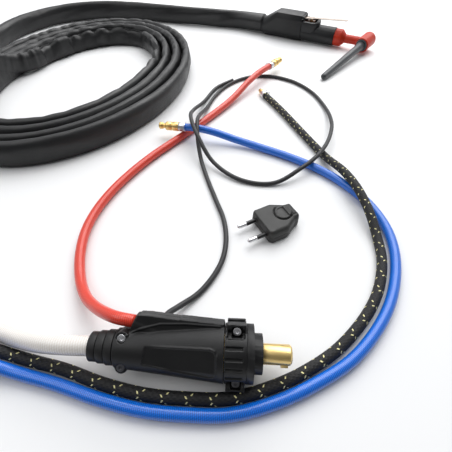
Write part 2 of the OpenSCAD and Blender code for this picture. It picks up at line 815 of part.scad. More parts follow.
module gas_hose() {
    color("#202022") cord(gas_path, gas_d, gas_d);
}

module red_hose() {
    color("#d23c32") cord(concat([branch_point(-5.8), branch_point(3)], red_path), water_d, water_d);
}

module control_cable() {
    color("#3c3c3e") cord(cable_path, cable_d, cable_d, 8);
}

handle_shell();
rear_adaptor();
inner_cable();
power_union();
front_insert();
neck_tube();
head_core();
head_boot();
cup_gasket();
cap_liner();
cap_seal();
back_cap();
sleeve();
switch_base();
switch_hood();
micro_switch();
switch_plunger();
switch_wires();
lever_pin();
lever_blade();
rear_boot();
swage_ring();
water_block();
branch_clip();
housing_upper();
housing_lower();
housing_screws();
housing_nuts();
grip_ring();
front_collar();
pin_nut();
power_pin();
cable_gland();
red_coupler();
red_clamp();
blue_coupler();
blue_clamp();
gas_nipple();
gas_clamp();
cover_band();
mains_upper();
mains_lower();
mains_pins();
mains_sleeves();
cord_clamp();
mains_screw();
cover_lead();
cover_coil();
cover_tail();
power_hose();
blue_hose();
gas_hose();
red_hose();
control_cable();
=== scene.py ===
import json
import math

import bmesh
import bpy
import numpy as np
from mathutils import Matrix, Vector, noise


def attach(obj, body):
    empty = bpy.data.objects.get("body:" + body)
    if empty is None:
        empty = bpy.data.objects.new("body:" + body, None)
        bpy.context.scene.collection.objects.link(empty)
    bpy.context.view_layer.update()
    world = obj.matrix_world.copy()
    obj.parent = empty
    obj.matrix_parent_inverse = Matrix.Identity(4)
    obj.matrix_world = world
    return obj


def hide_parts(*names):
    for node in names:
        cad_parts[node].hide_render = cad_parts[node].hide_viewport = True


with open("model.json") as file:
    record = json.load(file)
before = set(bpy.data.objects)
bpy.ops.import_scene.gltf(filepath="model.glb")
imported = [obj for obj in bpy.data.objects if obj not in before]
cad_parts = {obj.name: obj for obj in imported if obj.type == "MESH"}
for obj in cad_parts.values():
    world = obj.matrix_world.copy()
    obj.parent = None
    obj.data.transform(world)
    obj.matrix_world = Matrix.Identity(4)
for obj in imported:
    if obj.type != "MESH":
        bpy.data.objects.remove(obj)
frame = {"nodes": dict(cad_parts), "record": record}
nodes = frame["nodes"]
bodyOf = {n: b for b, members in frame["record"]["behaviour"]["bodies"].items() for n in members}
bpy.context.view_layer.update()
scene = bpy.context.scene
print("frame loaded", len(nodes), "nodes")

cameraSpec = {"lens": 26.52, "sensor": 36, "clipStart": 0.01, "place": (-0.083, -0.380, 0.236), "tilt": 41}
cameraData = bpy.data.cameras.new("mainCamera")
cameraData.lens = cameraSpec["lens"]
cameraData.sensor_width = cameraSpec["sensor"]
cameraData.clip_start = cameraSpec["clipStart"]
camera = bpy.data.objects.new("mainCamera", cameraData)
camera.location = cameraSpec["place"]
camera.rotation_euler = (math.radians(cameraSpec["tilt"]), 0, 0)
scene.collection.objects.link(camera)
scene.camera = camera
scene.view_settings.view_transform = "Standard"

# Routes of the cords, in millimetres, from each exit to its end
route = {
    "lead": [[-12.5, 311.3, 16.2], [-50, 329, 16.2], [-105, 342, 16.2], [-175, 359, 16.2],
        [-255, 378, 16.2], [-335, 385, 16.2], [-405, 362, 16.2], [-455, 308, 16.2],
        [-475, 243, 16.2], [-469, 178, 16.2], [-462.5, 120, 16.2]],
    "tail": [[-398, 128, 22], [-412, 88, 38], [-433, 50, 49], [-451, 8, 49], [-460, -34, 40],
        [-460, -78, 24], [-450, -120, 16.2], [-429, -164, 16.2], [-397, -203, 16.2],
        [-357, -232, 16.2], [-313, -251, 16.2]],
    "power": [[-154.3, -296.8, 19.2], [-170.5, -296, 19.4], [-188, -295.4, 19.4], [-203, -293.5, 17.2],
        [-221, -289, 12.4], [-248, -279.5, 8.4], [-275, -268, 6.9], [-312.5, -251.2, 6.9]],
    "blue": [[-311.4, -251.6, 27.4], [-281, -276, 25.8], [-257, -299, 16.8], [-227, -307.4, 6.4],
        [-194, -315.4, 4.6], [-163, -324.6, 4.6], [-135, -330.8, 4.6], [-108, -333.2, 4.6],
        [-81, -333.2, 4.6], [-53, -326.8, 4.6], [-25, -315.6, 4.6], [7, -297, 4.6],
        [41, -260, 4.6], [60, -218, 4.6], [64, -184, 4.6], [57, -152, 4.6], [42, -125, 4.6],
        [21, -101, 4.6], [-9, -78, 4.6], [-41, -60, 5], [-71, -47, 7.4], [-99, -39, 13],
        [-119, -34.5, 15.2], [-139, -31, 14.6]],
    "gas": [[-311.6, -251.4, 18.3], [-277, -272.6, 17.6], [-253, -290.4, 12.8], [-223, -298.6, 5],
        [-191, -306.2, 4.5], [-163, -315.3, 4.5], [-135, -321.6, 4.5], [-108, -324, 4.5],
        [-81, -324, 4.5], [-57, -318.4, 4.5], [-31, -308, 4.5], [-1, -289.4, 4.5],
        [31.8, -254.6, 4.5], [48, -220, 4.5], [52, -192, 5], [50, -164, 11.4], [45.5, -138, 14.4],
        [39, -112, 13.2], [28, -76, 5.4], [10, -29, 4.5], [-10, 23, 4.5], [-31, 70, 4.5]],
    "red": [[-142.4, -284.1, 30.7], [-154, -282, 31.2], [-165, -276, 26], [-177, -267, 18],
        [-189, -255, 10.4], [-200, -237, 5.2], [-208, -211, 4.6], [-210.5, -184, 4.6], [-207, -158, 4.6],
        [-198, -131, 4.6], [-184, -103, 4.6], [-165, -73, 4.6], [-141, -42, 4.6],
        [-107, 3, 4.6], [-75, 49, 6.4], [-51, 87, 12.4], [-34, 112, 14.6], [-13, 139, 14.2]],
    "cable": [[-127, -278.6, 13.2], [-126, -270, 11], [-119, -261, 6], [-105, -248, 2.6],
        [-94, -233, 2.6], [-86, -215, 2.6], [-83, -194, 2.6], [-85, -170, 2.6], [-93, -143, 2.6],
        [-103, -110, 2.6], [-111, -80, 5.4], [-115, -58, 15], [-116.5, -34, 22.8], [-116, -6, 14.6],
        [-109, 30, 3.8], [-97, 68, 2.6], [-77, 101, 2.6], [-49, 122, 2.6], [-17, 125.6, 2.6],
        [17, 108, 2.6], [40, 74, 2.6], [50, 30, 3.8], [49, 0, 8], [44, -28, 12], [32, -60, 12.4],
        [15, -86, 12.6], [-3, -103, 11], [-33, -118, 3], [-67, -113, 2.8], [-97, -88, 7],
        [-115, -60, 22.6], [-124.5, -26, 25], [-124, 6, 15], [-113, 48, 3.6], [-96, 90, 2.6],
        [-73, 113, 2.6]],
}
# Outside diameters in millimetres
hoseSizes = {"power": 13.0, "blue": 8.6, "gas": 8.4, "red": 8.6, "cable": 4.6}


def smoothed(points, step=0.003, perStretch=24):
    # Evenly spaced points along a smooth line through the given ones, all in metres
    p = np.array(points, float)
    p = np.vstack([2 * p[0] - p[1], p, 2 * p[-1] - p[-2]])
    t = np.concatenate([[0], np.cumsum(np.linalg.norm(np.diff(p, axis=0), axis=1) ** 0.5)])
    out = []
    for i in range(1, len(p) - 2):
        for x in np.linspace(t[i], t[i + 1], perStretch, endpoint=False):
            a = [(t[k + 1] - x) / (t[k + 1] - t[k]) * p[k] + (x - t[k]) / (t[k + 1] - t[k]) * p[k + 1]
                for k in range(i - 1, i + 2)]
            b = [(t[k + 2] - x) / (t[k + 2] - t[k]) * a[j] + (x - t[k]) / (t[k + 2] - t[k]) * a[j + 1]
                for j, k in enumerate(range(i - 1, i + 1))]
            out.append((t[i + 1] - x) / (t[i + 1] - t[i]) * b[0] + (x - t[i]) / (t[i + 1] - t[i]) * b[1])
    out = np.array(out + [p[-2]])
    return resampled(out, step)


def resampled(p, step):
    # The same line with points about one step apart
    s = np.concatenate([[0], np.cumsum(np.linalg.norm(np.diff(p, axis=0), axis=1))])
    n = max(2, int(round(s[-1] / step)))
    at = np.linspace(0, s[-1], n + 1)
    return np.stack([np.interp(at, s, p[:, k]) for k in range(3)], axis=1)


def lengthOf(p):
    # Length of a line of points
    return float(np.linalg.norm(np.diff(p, axis=0), axis=1).sum())


paths = {k: smoothed(np.array(v) / 1000) for k, v in route.items() if k not in ("lead", "tail")}
print("routes", {k: round(lengthOf(v), 3) for k, v in paths.items()})


def material(name, color, rough=0.5, metal=0.0, **more):
    # A plain finish; more sets any other socket of its shader by name
    m = bpy.data.materials.new(name)
    m.use_nodes = True
    shader = m.node_tree.nodes["Principled BSDF"]
    shader.inputs["Base Color"].default_value = (*color, 1)
    shader.inputs["Roughness"].default_value = rough
    shader.inputs["Metallic"].default_value = metal
    for key, value in more.items():
        shader.inputs[key.replace("_", " ")].default_value = value
    return m


def shaderOf(m):
    return m.node_tree.nodes["Principled BSDF"]


def newGroup(name, ins, outs):
    # An empty node group with these sockets: name -> (type, default)
    g = bpy.data.node_groups.new(name, "ShaderNodeTree")
    for label, (kind, value) in ins.items():
        s = g.interface.new_socket(label, in_out="INPUT", socket_type=kind)
        if value is not None:
            s.default_value = value
    for label, kind in outs.items():
        g.interface.new_socket(label, in_out="OUTPUT", socket_type=kind)
    return g, g.nodes.new("NodeGroupInput"), g.nodes.new("NodeGroupOutput")


def math2(tree, op, a, b=None, clamp=False):
    # One Math node on sockets or plain numbers
    n = tree.nodes.new("ShaderNodeMath")
    n.operation = op
    n.use_clamp = clamp
    for i, v in enumerate((a, b)):
        if v is None:
            continue
        if isinstance(v, (int, float)):
            n.inputs[i].default_value = v
        else:
            tree.links.new(v, n.inputs[i])
    return n.outputs[0]


def noiseValue(tree, vector, scale, detail, rough):
    # Height of a noise texture at a point
    n = tree.nodes.new("ShaderNodeTexNoise")
    n.inputs["Scale"].default_value = scale
    n.inputs["Detail"].default_value = detail
    n.inputs["Roughness"].default_value = rough
    tree.links.new(vector, n.inputs["Vector"])
    return n.outputs["Fac"]


def bumped(tree, height, strength, distance, normal=None):
    # A Bump node over a height, on top of an earlier normal if one is given
    n = tree.nodes.new("ShaderNodeBump")
    n.inputs["Strength"].default_value = strength
    n.inputs["Distance"].default_value = distance
    tree.links.new(height, n.inputs["Height"])
    if normal is not None:
        tree.links.new(normal, n.inputs["Normal"])
    return n.outputs["Normal"]


def makeSurfaceGroup():
    # Grain, smudges and worn edges shared by every hard surface
    g, gi, go = newGroup("surfaceWear",
        {"Grain Scale": ("NodeSocketFloat", 900.0), "Grain Depth": ("NodeSocketFloat", 0.00004),
         "Wear": ("NodeSocketFloat", 0.5)},
        {"Normal": "NodeSocketVector", "Smudge": "NodeSocketFloat", "Edge": "NodeSocketFloat"})
    coord = g.nodes.new("ShaderNodeTexCoord").outputs["Object"]
    grain = g.nodes.new("ShaderNodeTexNoise")
    grain.inputs["Detail"].default_value = 2
    g.links.new(coord, grain.inputs["Vector"])
    g.links.new(gi.outputs["Grain Scale"], grain.inputs["Scale"])
    bump = g.nodes.new("ShaderNodeBump")
    bump.inputs["Strength"].default_value = 1.0
    g.links.new(gi.outputs["Grain Depth"], bump.inputs["Distance"])
    g.links.new(grain.outputs["Fac"], bump.inputs["Height"])
    g.links.new(bump.outputs["Normal"], go.inputs["Normal"])
    smudge = noiseValue(g, coord, 38, 4, 0.6)
    ramp = g.nodes.new("ShaderNodeMapRange")
    ramp.inputs["From Min"].default_value = 0.3
    ramp.inputs["From Max"].default_value = 0.7
    g.links.new(smudge, ramp.inputs["Value"])
    g.links.new(ramp.outputs[0], go.inputs["Smudge"])
    point = g.nodes.new("ShaderNodeNewGeometry").outputs["Pointiness"]
    edge = g.nodes.new("ShaderNodeMapRange")
    edge.inputs["From Min"].default_value = 0.515
    edge.inputs["From Max"].default_value = 0.58
    g.links.new(point, edge.inputs["Value"])
    broken = math2(g, "MULTIPLY", edge.outputs[0], noiseValue(g, coord, 220, 4, 0.7))
    g.links.new(math2(g, "MULTIPLY", broken, gi.outputs["Wear"], True), go.inputs["Edge"])
    return g


surfaceGroup = makeSurfaceGroup()


def weathered(m, light, roughSpan, grainScale, grainDepth, wear):
    # Adds the shared grain, smudges and edge wear to a material
    tree, shader = m.node_tree, shaderOf(m)
    g = tree.nodes.new("ShaderNodeGroup")
    g.node_tree = surfaceGroup
    g.inputs["Grain Scale"].default_value = grainScale
    g.inputs["Grain Depth"].default_value = grainDepth
    g.inputs["Wear"].default_value = wear
    tree.links.new(g.outputs["Normal"], shader.inputs["Normal"])
    base = tuple(shader.inputs["Base Color"].default_value)
    mix = tree.nodes.new("ShaderNodeMix")
    mix.data_type = "RGBA"
    mix.inputs[6].default_value = base
    mix.inputs[7].default_value = (*light, 1)
    tree.links.new(g.outputs["Edge"], mix.inputs[0])
    tree.links.new(mix.outputs[2], shader.inputs["Base Color"])
    rough = shader.inputs["Roughness"].default_value
    span = tree.nodes.new("ShaderNodeMapRange")
    span.inputs["To Min"].default_value = rough + roughSpan[0]
    span.inputs["To Max"].default_value = rough + roughSpan[1]
    tree.links.new(g.outputs["Smudge"], span.inputs["Value"])
    tree.links.new(span.outputs[0], shader.inputs["Roughness"])
    return m


# Base colour, roughness and metal of each hard finish, then its worn colour, the span that smudges add to
# its roughness, and the scale, depth and wear of its grain
finishes = {
    "housingBlack": ((0.0048, 0.0049, 0.0053), 0.42, 0,
        (0.050, 0.050, 0.052), (-0.04, 0.12), 1400, 0.00005, 0.5),
    "rubberBlack": ((0.0070, 0.0070, 0.0075), 0.50, 0,
        (0.034, 0.034, 0.034), (-0.04, 0.12), 800, 0.00005, 0.35),
    "handleBlack": ((0.0105, 0.0110, 0.0120), 0.38, 0,
        (0.040, 0.040, 0.042), (-0.03, 0.1), 1500, 0.00003, 0.4),
    "sleeveBlack": ((0.0085, 0.0088, 0.0095), 0.34, 0,
        (0.030, 0.030, 0.030), (-0.03, 0.14), 500, 0.00006, 0.2),
    "redSilicone": ((0.52, 0.026, 0.004), 0.40, 0,
        (0.58, 0.07, 0.03), (-0.04, 0.12), 600, 0.00004, 0.3),
    "capGrey": ((0.042, 0.047, 0.052), 0.34, 0,
        (0.12, 0.125, 0.13), (-0.03, 0.1), 1600, 0.00002, 0.3),
    "linerTeal": ((0.060, 0.085, 0.095), 0.42, 0,
        (0.16, 0.2, 0.21), (0, 0.1), 900, 0.00004, 0.4),
    "gasketWhite": ((0.72, 0.72, 0.69), 0.45, 0,
        (0.8, 0.8, 0.78), (0, 0.1), 900, 0.00004, 0.3),
    "mainsGrey": ((0.021, 0.021, 0.0198), 0.50, 0,
        (0.10, 0.10, 0.097), (-0.04, 0.1), 1800, 0.00006, 0.35),
    "switchBrown": ((0.14, 0.052, 0.018), 0.40, 0,
        (0.25, 0.12, 0.05), (0, 0.1), 900, 0.00004, 0.4),
    "nickel": ((0.74, 0.74, 0.76), 0.22, 1,
        (0.85, 0.85, 0.86), (-0.04, 0.14), 1200, 0.00002, 0.4),
    # Painted shade: a darker steel for the screws on the side that faces down
    "burntSteel": ((0.12, 0.12, 0.13), 0.34, 1,
        (0.3, 0.3, 0.3), (-0.04, 0.14), 1200, 0.00002, 0.3),
    "leverSteel": ((0.38, 0.33, 0.29), 0.44, 1,
        (0.60, 0.57, 0.54), (-0.05, 0.16), 900, 0.00002, 0.5),
    "cableGrey": ((0.026, 0.026, 0.028), 0.40, 0,
        (0.05, 0.05, 0.05), (-0.05, 0.12), 700, 0.00004, 0.1),
}
surface = {}
for name, (color, rough, metal, worn, span, grain, depth, wear) in finishes.items():
    surface[name] = weathered(material(name, color, rough, metal), worn, span, grain, depth, wear)
softSheen = {"level": 0.38, "siliconeGlow": 0.04, "siliconeDepth": 0.003,
    "finishes": ("housingBlack", "rubberBlack", "handleBlack", "sleeveBlack", "cableGrey", "redSilicone")}
for name in softSheen["finishes"]:
    shaderOf(surface[name]).inputs["Specular IOR Level"].default_value = softSheen["level"]
silicone = shaderOf(surface["redSilicone"])
silicone.inputs["Subsurface Weight"].default_value = softSheen["siliconeGlow"]
silicone.inputs["Subsurface Scale"].default_value = softSheen["siliconeDepth"]
mainsSleeve = material("mainsSleeve", (0.008, 0.008, 0.009), 0.35)
wireRed = material("wireRed", (0.35, 0.03, 0.03), 0.4)
copper = material("copper", (0.7, 0.3, 0.16), 0.3, 1.0)

brassSpec = {"worn": (0.95, 0.8, 0.48), "rings": 2600, "ringDepth": 0.00003, "tarnish": (0.72, 0.6, 0.42),
    "tarnishScale": 90, "tarnishShare": 0.5}


def brassMaterial(name, color, rough, axis):
    # Turned brass: fine tool rings across its axis and soft tarnish
    spec = brassSpec
    m = weathered(material(name, color, rough, 1.0), spec["worn"], (-0.05, 0.16), 700, 0.00002, 0.6)
    tree, shader = m.node_tree, shaderOf(m)
    coord = tree.nodes.new("ShaderNodeTexCoord").outputs["Object"]
    dot = tree.nodes.new("ShaderNodeVectorMath")
    dot.operation = "DOT_PRODUCT"
    dot.inputs[1].default_value = axis
    tree.links.new(coord, dot.inputs[0])
    line = tree.nodes.new("ShaderNodeCombineXYZ")
    tree.links.new(dot.outputs["Value"], line.inputs[0])
    rings = noiseValue(tree, line.outputs[0], spec["rings"], 2, 0.6)
    old = shader.inputs["Normal"].links[0].from_socket
    tree.links.new(bumped(tree, rings, 0.5, spec["ringDepth"], old), shader.inputs["Normal"])
    tarnish = tree.nodes.new("ShaderNodeMix")
    tarnish.data_type = "RGBA"
    tarnish.blend_type = "MULTIPLY"
    tarnish.inputs[7].default_value = (*spec["tarnish"], 1)
    patches = noiseValue(tree, coord, spec["tarnishScale"], 5, 0.65)
    tree.links.new(math2(tree, "MULTIPLY", patches, spec["tarnishShare"]), tarnish.inputs[0])
    tree.links.new(shader.inputs["Base Color"].links[0].from_socket, tarnish.inputs[6])
    tree.links.new(tarnish.outputs[2], shader.inputs["Base Color"])
    return m


connectorHeading = -2.6
connectorAxis = (math.cos(math.radians(connectorHeading)), math.sin(math.radians(connectorHeading)), 0)
brassPin = brassMaterial("brassPin", (0.90, 0.68, 0.29), 0.34, connectorAxis)
brassFitting = brassMaterial("brassFitting", (0.86, 0.62, 0.24), 0.28, (0.7, 0.7, 0))


coverFinish = {"black": (0.0075, 0.0078, 0.0085), "cells": 950, "cellDepth": 0.00008, "creases": 130,
    "creaseDepth": 0.0006, "patches": 26, "rough": (0.32, 0.52)}


def leatheretteMaterial():
    # Pebbled sheet with fine creases and patches that shine more than others
    spec = coverFinish
    m = material("leatherette", spec["black"], 0.42, Specular_IOR_Level=0.5)
    tree, shader = m.node_tree, shaderOf(m)
    coord = tree.nodes.new("ShaderNodeTexCoord").outputs["Object"]
    cells = tree.nodes.new("ShaderNodeTexVoronoi")
    cells.feature = "DISTANCE_TO_EDGE"
    cells.inputs["Scale"].default_value = spec["cells"]
    tree.links.new(coord, cells.inputs["Vector"])
    edge = tree.nodes.new("ShaderNodeMapRange")
    edge.inputs["From Max"].default_value = 0.12
    tree.links.new(cells.outputs["Distance"], edge.inputs["Value"])
    pebble = bumped(tree, edge.outputs[0], 0.35, spec["cellDepth"])
    crease = noiseValue(tree, coord, spec["creases"], 4, 0.6)
    creased = bumped(tree, crease, 0.5, spec["creaseDepth"], pebble)
    tree.links.new(creased, shader.inputs["Normal"])
    patch = noiseValue(tree, coord, spec["patches"], 4, 0.6)
    rough = tree.nodes.new("ShaderNodeMapRange")
    rough.inputs["From Min"].default_value = 0.3
    rough.inputs["From Max"].default_value = 0.7
    rough.inputs["To Min"].default_value = spec["rough"][0]
    rough.inputs["To Max"].default_value = spec["rough"][1]
    tree.links.new(patch, rough.inputs["Value"])
    tree.links.new(rough.outputs[0], shader.inputs["Roughness"])
    return m


leatherette = leatheretteMaterial()


def hoseCoordinates(tree):
    # Turns round the hose and metres along it, from the tube's own map
    uv = tree.nodes.new("ShaderNodeUVMap")
    uv.uv_map = "hoseMap"
    split = tree.nodes.new("ShaderNodeSeparateXYZ")
    tree.links.new(uv.outputs[0], split.inputs[0])
    return split.outputs[0], split.outputs[1]


def makeKnitGroup():
    # Fine slanted ribs of a knitted reinforcement seen through a hose's skin, used for the rib bumps and for
    # the painted shade and highlight over them
    g, gi, go = newGroup("knitRibs",
        {"Pitch": ("NodeSocketFloat", 0.0016), "Around": ("NodeSocketFloat", 18.0)},
        {"Ribs": "NodeSocketFloat", "Weave": "NodeSocketFloat"})
    u, v = hoseCoordinates(g)
    along = math2(g, "DIVIDE", v, gi.outputs["Pitch"])
    slanted = math2(g, "ADD", along, u)
    ribs = math2(g, "ABSOLUTE", math2(g, "SINE", math2(g, "MULTIPLY", slanted, math.pi)))
    strands = math2(g, "MULTIPLY", u, gi.outputs["Around"])
    cross = math2(g, "SUBTRACT", math2(g, "MULTIPLY", along, 0.5), strands)
    weave = math2(g, "ABSOLUTE", math2(g, "SINE", math2(g, "MULTIPLY", cross, math.pi)))
    g.links.new(ribs, go.inputs["Ribs"])
    g.links.new(math2(g, "MULTIPLY", ribs, weave), go.inputs["Weave"])
    return g


knitGroup = makeKnitGroup()

# Groove colour with painted shade and crest colour with painted highlight, roughness, rib pitch in metres,
# strands round it and gloss coat of each hose's skin
hoseSkins = {
    "blueHoseSkin": ((0.001, 0.062, 0.42), (0.004, 0.205, 0.84), 0.3, 0.00125, 16, 0.45),
    "redHoseSkin": ((0.46, 0.012, 0.006), (0.86, 0.068, 0.028), 0.32, 0.00125, 16, 0.3),
    "clearHoseSkin": ((0.74, 0.68, 0.62), (0.88, 0.86, 0.83), 0.26, 0.0016, 20, 0.5),
}
ribSpec = {"depth": 0.00012, "ribShare": 0.55, "weaveShare": 0.45, "coatRough": 0.12}


def hoseMaterial(name, dark, light, rough, pitch, around, coat):
    # Glossy skin over a knitted reinforcement, with painted shade in the rib grooves and painted highlight
    # on the crests
    spec = ribSpec
    m = material(name, light, rough, Coat_Weight=coat, Coat_Roughness=spec["coatRough"])
    tree, shader = m.node_tree, shaderOf(m)
    g = tree.nodes.new("ShaderNodeGroup")
    g.node_tree = knitGroup
    g.inputs["Pitch"].default_value = pitch
    g.inputs["Around"].default_value = around
    # The colour goes from the dark tone in the rib grooves to the light one on the crests: painted shade and
    # highlight, along with the knit's own pattern
    mix = tree.nodes.new("ShaderNodeMix")
    mix.data_type = "RGBA"
    mix.inputs[6].default_value = (*dark, 1)
    mix.inputs[7].default_value = (*light, 1)
    ribs = math2(tree, "MULTIPLY", g.outputs["Ribs"], spec["ribShare"])
    weave = math2(tree, "MULTIPLY", g.outputs["Weave"], spec["weaveShare"])
    tree.links.new(math2(tree, "ADD", ribs, weave), mix.inputs[0])
    tree.links.new(mix.outputs[2], shader.inputs["Base Color"])
    tree.links.new(bumped(tree, g.outputs["Ribs"], 0.6, spec["depth"]), shader.inputs["Normal"])
    return m


hoseSkin = {name: hoseMaterial(name, *values) for name, values in hoseSkins.items()}

braidSpec = {"black": (0.012, 0.012, 0.013), "yellow": (0.86, 0.80, 0.40), "strands": 12.0, "pitch": 0.0040,
    "depth": 0.00035, "winding": 0.0155, "laneHalf": 0.032, "dashes": 5.0, "dashShare": 0.30}


def braidMaterial():
    # Black braid of crossing strands with pale flecks where a marked strand comes up
    spec = braidSpec
    m = material("gasBraid", spec["black"], 0.6, Specular_IOR_Level=0.35)
    tree, shader = m.node_tree, shaderOf(m)
    u, v = hoseCoordinates(tree)
    around = math2(tree, "MULTIPLY", u, spec["strands"])
    along = math2(tree, "DIVIDE", v, spec["pitch"])
    right = math2(tree, "ADD", around, along)
    left = math2(tree, "SUBTRACT", around, along)
    strandsA = math2(tree, "ABSOLUTE", math2(tree, "SINE", math2(tree, "MULTIPLY", right, math.pi)))
    strandsB = math2(tree, "ABSOLUTE", math2(tree, "SINE", math2(tree, "MULTIPLY", left, math.pi)))
    height = math2(tree, "MAXIMUM", strandsA, strandsB)
    tree.links.new(bumped(tree, height, 0.8, spec["depth"]), shader.inputs["Normal"])

    def flecks(way, shift, start):
        # Dashes along one marked strand, which goes round once in each winding
        wound = math2(tree, "ADD", u, math2(tree, "DIVIDE", v, way * spec["winding"]))
        lane = math2(tree, "FRACT", math2(tree, "ADD", wound, shift))
        offLane = math2(tree, "ABSOLUTE", math2(tree, "SUBTRACT", lane, 0.5))
        near = math2(tree, "LESS_THAN", offLane, spec["laneHalf"])
        dash = math2(tree, "FRACT", math2(tree, "ADD", math2(tree, "MULTIPLY", u, spec["dashes"]), start))
        return math2(tree, "MULTIPLY", near, math2(tree, "LESS_THAN", dash, spec["dashShare"]))

    mask = math2(tree, "MAXIMUM", flecks(1, 0.0, 0.0), flecks(-1, 0.70, 0.62))
    mix = tree.nodes.new("ShaderNodeMix")
    mix.data_type = "RGBA"
    mix.inputs[6].default_value = (*spec["black"], 1)
    mix.inputs[7].default_value = (*spec["yellow"], 1)
    tree.links.new(mask, mix.inputs[0])
    tree.links.new(mix.outputs[2], shader.inputs["Base Color"])
    return m


gasBraid = braidMaterial()
print("materials made")


def addMesh(name, verts, faces, mat, body=None, smooth=True):
    # A new piece from plain points and faces, riding on a body if one is given
    me = bpy.data.meshes.new(name)
    me.from_pydata([tuple(v) for v in verts], [], [tuple(f) for f in faces])
    me.update()
    if smooth:
        me.shade_smooth()
    o = bpy.data.objects.new(name, me)
    o.data.materials.append(mat)
    scene.collection.objects.link(o)
    if body:
        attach(o, body)
    return o


def headings(path):
    # Heading, side and up of each point of a path
    t = np.gradient(path, axis=0)
    t /= np.linalg.norm(t, axis=1)[:, None]
    side = np.cross(t, [0, 0, 1.0])
    side /= np.linalg.norm(side, axis=1)[:, None]
    return t, side, np.cross(side, t)


def ringFaces(rings, around):
    # Faces of a closed skin over rings of points, with a cap at each end
    faces = []
    for i in range(rings - 1):
        low, high = i * around, (i + 1) * around
        for k in range(around):
            n = (k + 1) % around
            faces.append((low + k, low + n, high + n, high + k))
    last = (rings - 1) * around
    return faces + [tuple(range(around - 1, -1, -1)), tuple(last + k for k in range(around))]


def tube(name, path, section, around, mat):
    # A swept tube: section(s, angles) gives its points' distances across and up at s metres along
    t, side, up = headings(path)
    s = np.concatenate([[0], np.cumsum(np.linalg.norm(np.diff(path, axis=0), axis=1))])
    angles = np.linspace(0, 2 * math.pi, around, endpoint=False)
    verts = []
    for i in range(len(path)):
        a, b = section(s[i], angles)
        verts.append(path[i] + np.outer(a, side[i]) + np.outer(b, up[i]))
    verts = np.vstack(verts)
    n = len(path)
    me = bpy.data.meshes.new(name)
    me.from_pydata([tuple(v) for v in verts], [], ringFaces(n, around))
    me.update()
    me.shade_smooth()
    layer = me.uv_layers.new(name="hoseMap")
    uv = np.zeros((len(me.loops), 2), np.float32)
    quads = (n - 1) * around
    k = np.tile(np.arange(around), n - 1)
    i = np.repeat(np.arange(n - 1), around)
    flat = uv[:quads * 4].reshape(quads, 4, 2)
    flat[:, 0] = np.stack([k / around, s[i]], axis=1)
    flat[:, 1] = np.stack([(k + 1) / around, s[i]], axis=1)
    flat[:, 2] = np.stack([(k + 1) / around, s[i + 1]], axis=1)
    flat[:, 3] = np.stack([k / around, s[i + 1]], axis=1)
    layer.data.foreach_set("uv", uv.ravel())
    o = bpy.data.objects.new(name, me)
    me.materials.append(mat)
    scene.collection.objects.link(o)
    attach(o, "bench_set")
    return o


def roundSection(radius):
    # A plain round section for tube
    return lambda s, a: (radius * np.cos(a), radius * np.sin(a))


edgeSpec = {"segments": 2, "angle": 28, "weld": 1e-6, "flat": 0.6}


def refined(node, mat, bevel):
    # A finer copy of a CAD node: joined faces, rounded edges and clean shading
    source = nodes[node]
    me = source.data.copy()
    me.name = node + "Fine"
    bm = bmesh.new()
    bm.from_mesh(me)
    bmesh.ops.remove_doubles(bm, verts=bm.verts, dist=edgeSpec["weld"])
    flat = math.radians(edgeSpec["flat"])
    bmesh.ops.dissolve_limit(bm, angle_limit=flat, verts=bm.verts, edges=bm.edges)
    bmesh.ops.recalc_face_normals(bm, faces=bm.faces)
    bm.to_mesh(me)
    bm.free()
    me.shade_smooth()
    me.materials.clear()
    me.materials.append(mat)
    o = bpy.data.objects.new(node + "Fine", me)
    scene.collection.objects.link(o)
    if bevel:
        b = o.modifiers.new("roundedEdges", "BEVEL")
        b.width = bevel
        b.segments = edgeSpec["segments"]
        b.limit_method = "ANGLE"
        b.angle_limit = math.radians(edgeSpec["angle"])
        b.harden_normals = True
        b.use_clamp_overlap = True
    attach(o, bodyOf[node])
    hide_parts(node)
    return o


def finishNode(node, mat):
    # A CAD node shown as it is, in its own finish
    me = nodes[node].data
    me.materials.clear()
    me.materials.append(mat)


surface.update({"brassPin": brassPin, "brassFitting": brassFitting, "copper": copper, "wireRed": wireRed,
    "mainsSleeve": mainsSleeve})
# Finish of each node, with the width of its rounded edges
fineNodes = {
    "handle_shell": ("handleBlack", 0.0008), "switch_base": ("handleBlack", 0.0007),
    "switch_hood": ("handleBlack", 0.0012), "micro_switch": ("switchBrown", 0.0002),
    "lever_blade": ("leverSteel", 0.00015), "switch_plunger": ("brassFitting", 0.0003),
    "lever_pin": ("nickel", 0.0002), "back_cap": ("capGrey", 0.0003),
    "rear_boot": ("rubberBlack", 0.0005), "front_collar": ("housingBlack", 0.0006),
    "power_pin": ("brassPin", 0.0003), "housing_screws": ("nickel", 0.0002),
    "red_coupler": ("brassFitting", 0.0003), "blue_coupler": ("brassFitting", 0.0003),
    "gas_nipple": ("brassFitting", 0.0003), "red_clamp": ("nickel", 0.0002),
    "blue_clamp": ("nickel", 0.0002), "gas_clamp": ("nickel", 0.0002),
    "cable_gland": ("rubberBlack", 0.0003), "sleeve": ("sleeveBlack", 0.0003),
}
pieces = {name: refined(name, surface[mat], bevel) for name, (mat, bevel) in fineNodes.items()}
# Finish of each node that is shown as it is
plainNodes = {
    "rear_adaptor": "rubberBlack", "inner_cable": "copper", "power_union": "brassFitting",
    "front_insert": "rubberBlack", "neck_tube": "copper", "head_core": "brassFitting",
    "cup_gasket": "gasketWhite", "cap_liner": "linerTeal", "cap_seal": "rubberBlack",
    "switch_wires": "wireRed", "swage_ring": "nickel", "water_block": "brassFitting",
    "branch_clip": "nickel", "housing_nuts": "nickel", "pin_nut": "brassFitting", "mains_pins": "nickel",
    "mains_sleeves": "mainsSleeve",
}
for name, mat in plainNodes.items():
    finishNode(name, surface[mat])


def ease(a, b, x):
    # Smooth step of an array from 0 at a to 1 at b
    w = np.clip((x - a) / (b - a), 0, 1)
    return w * w * (3 - 2 * w)


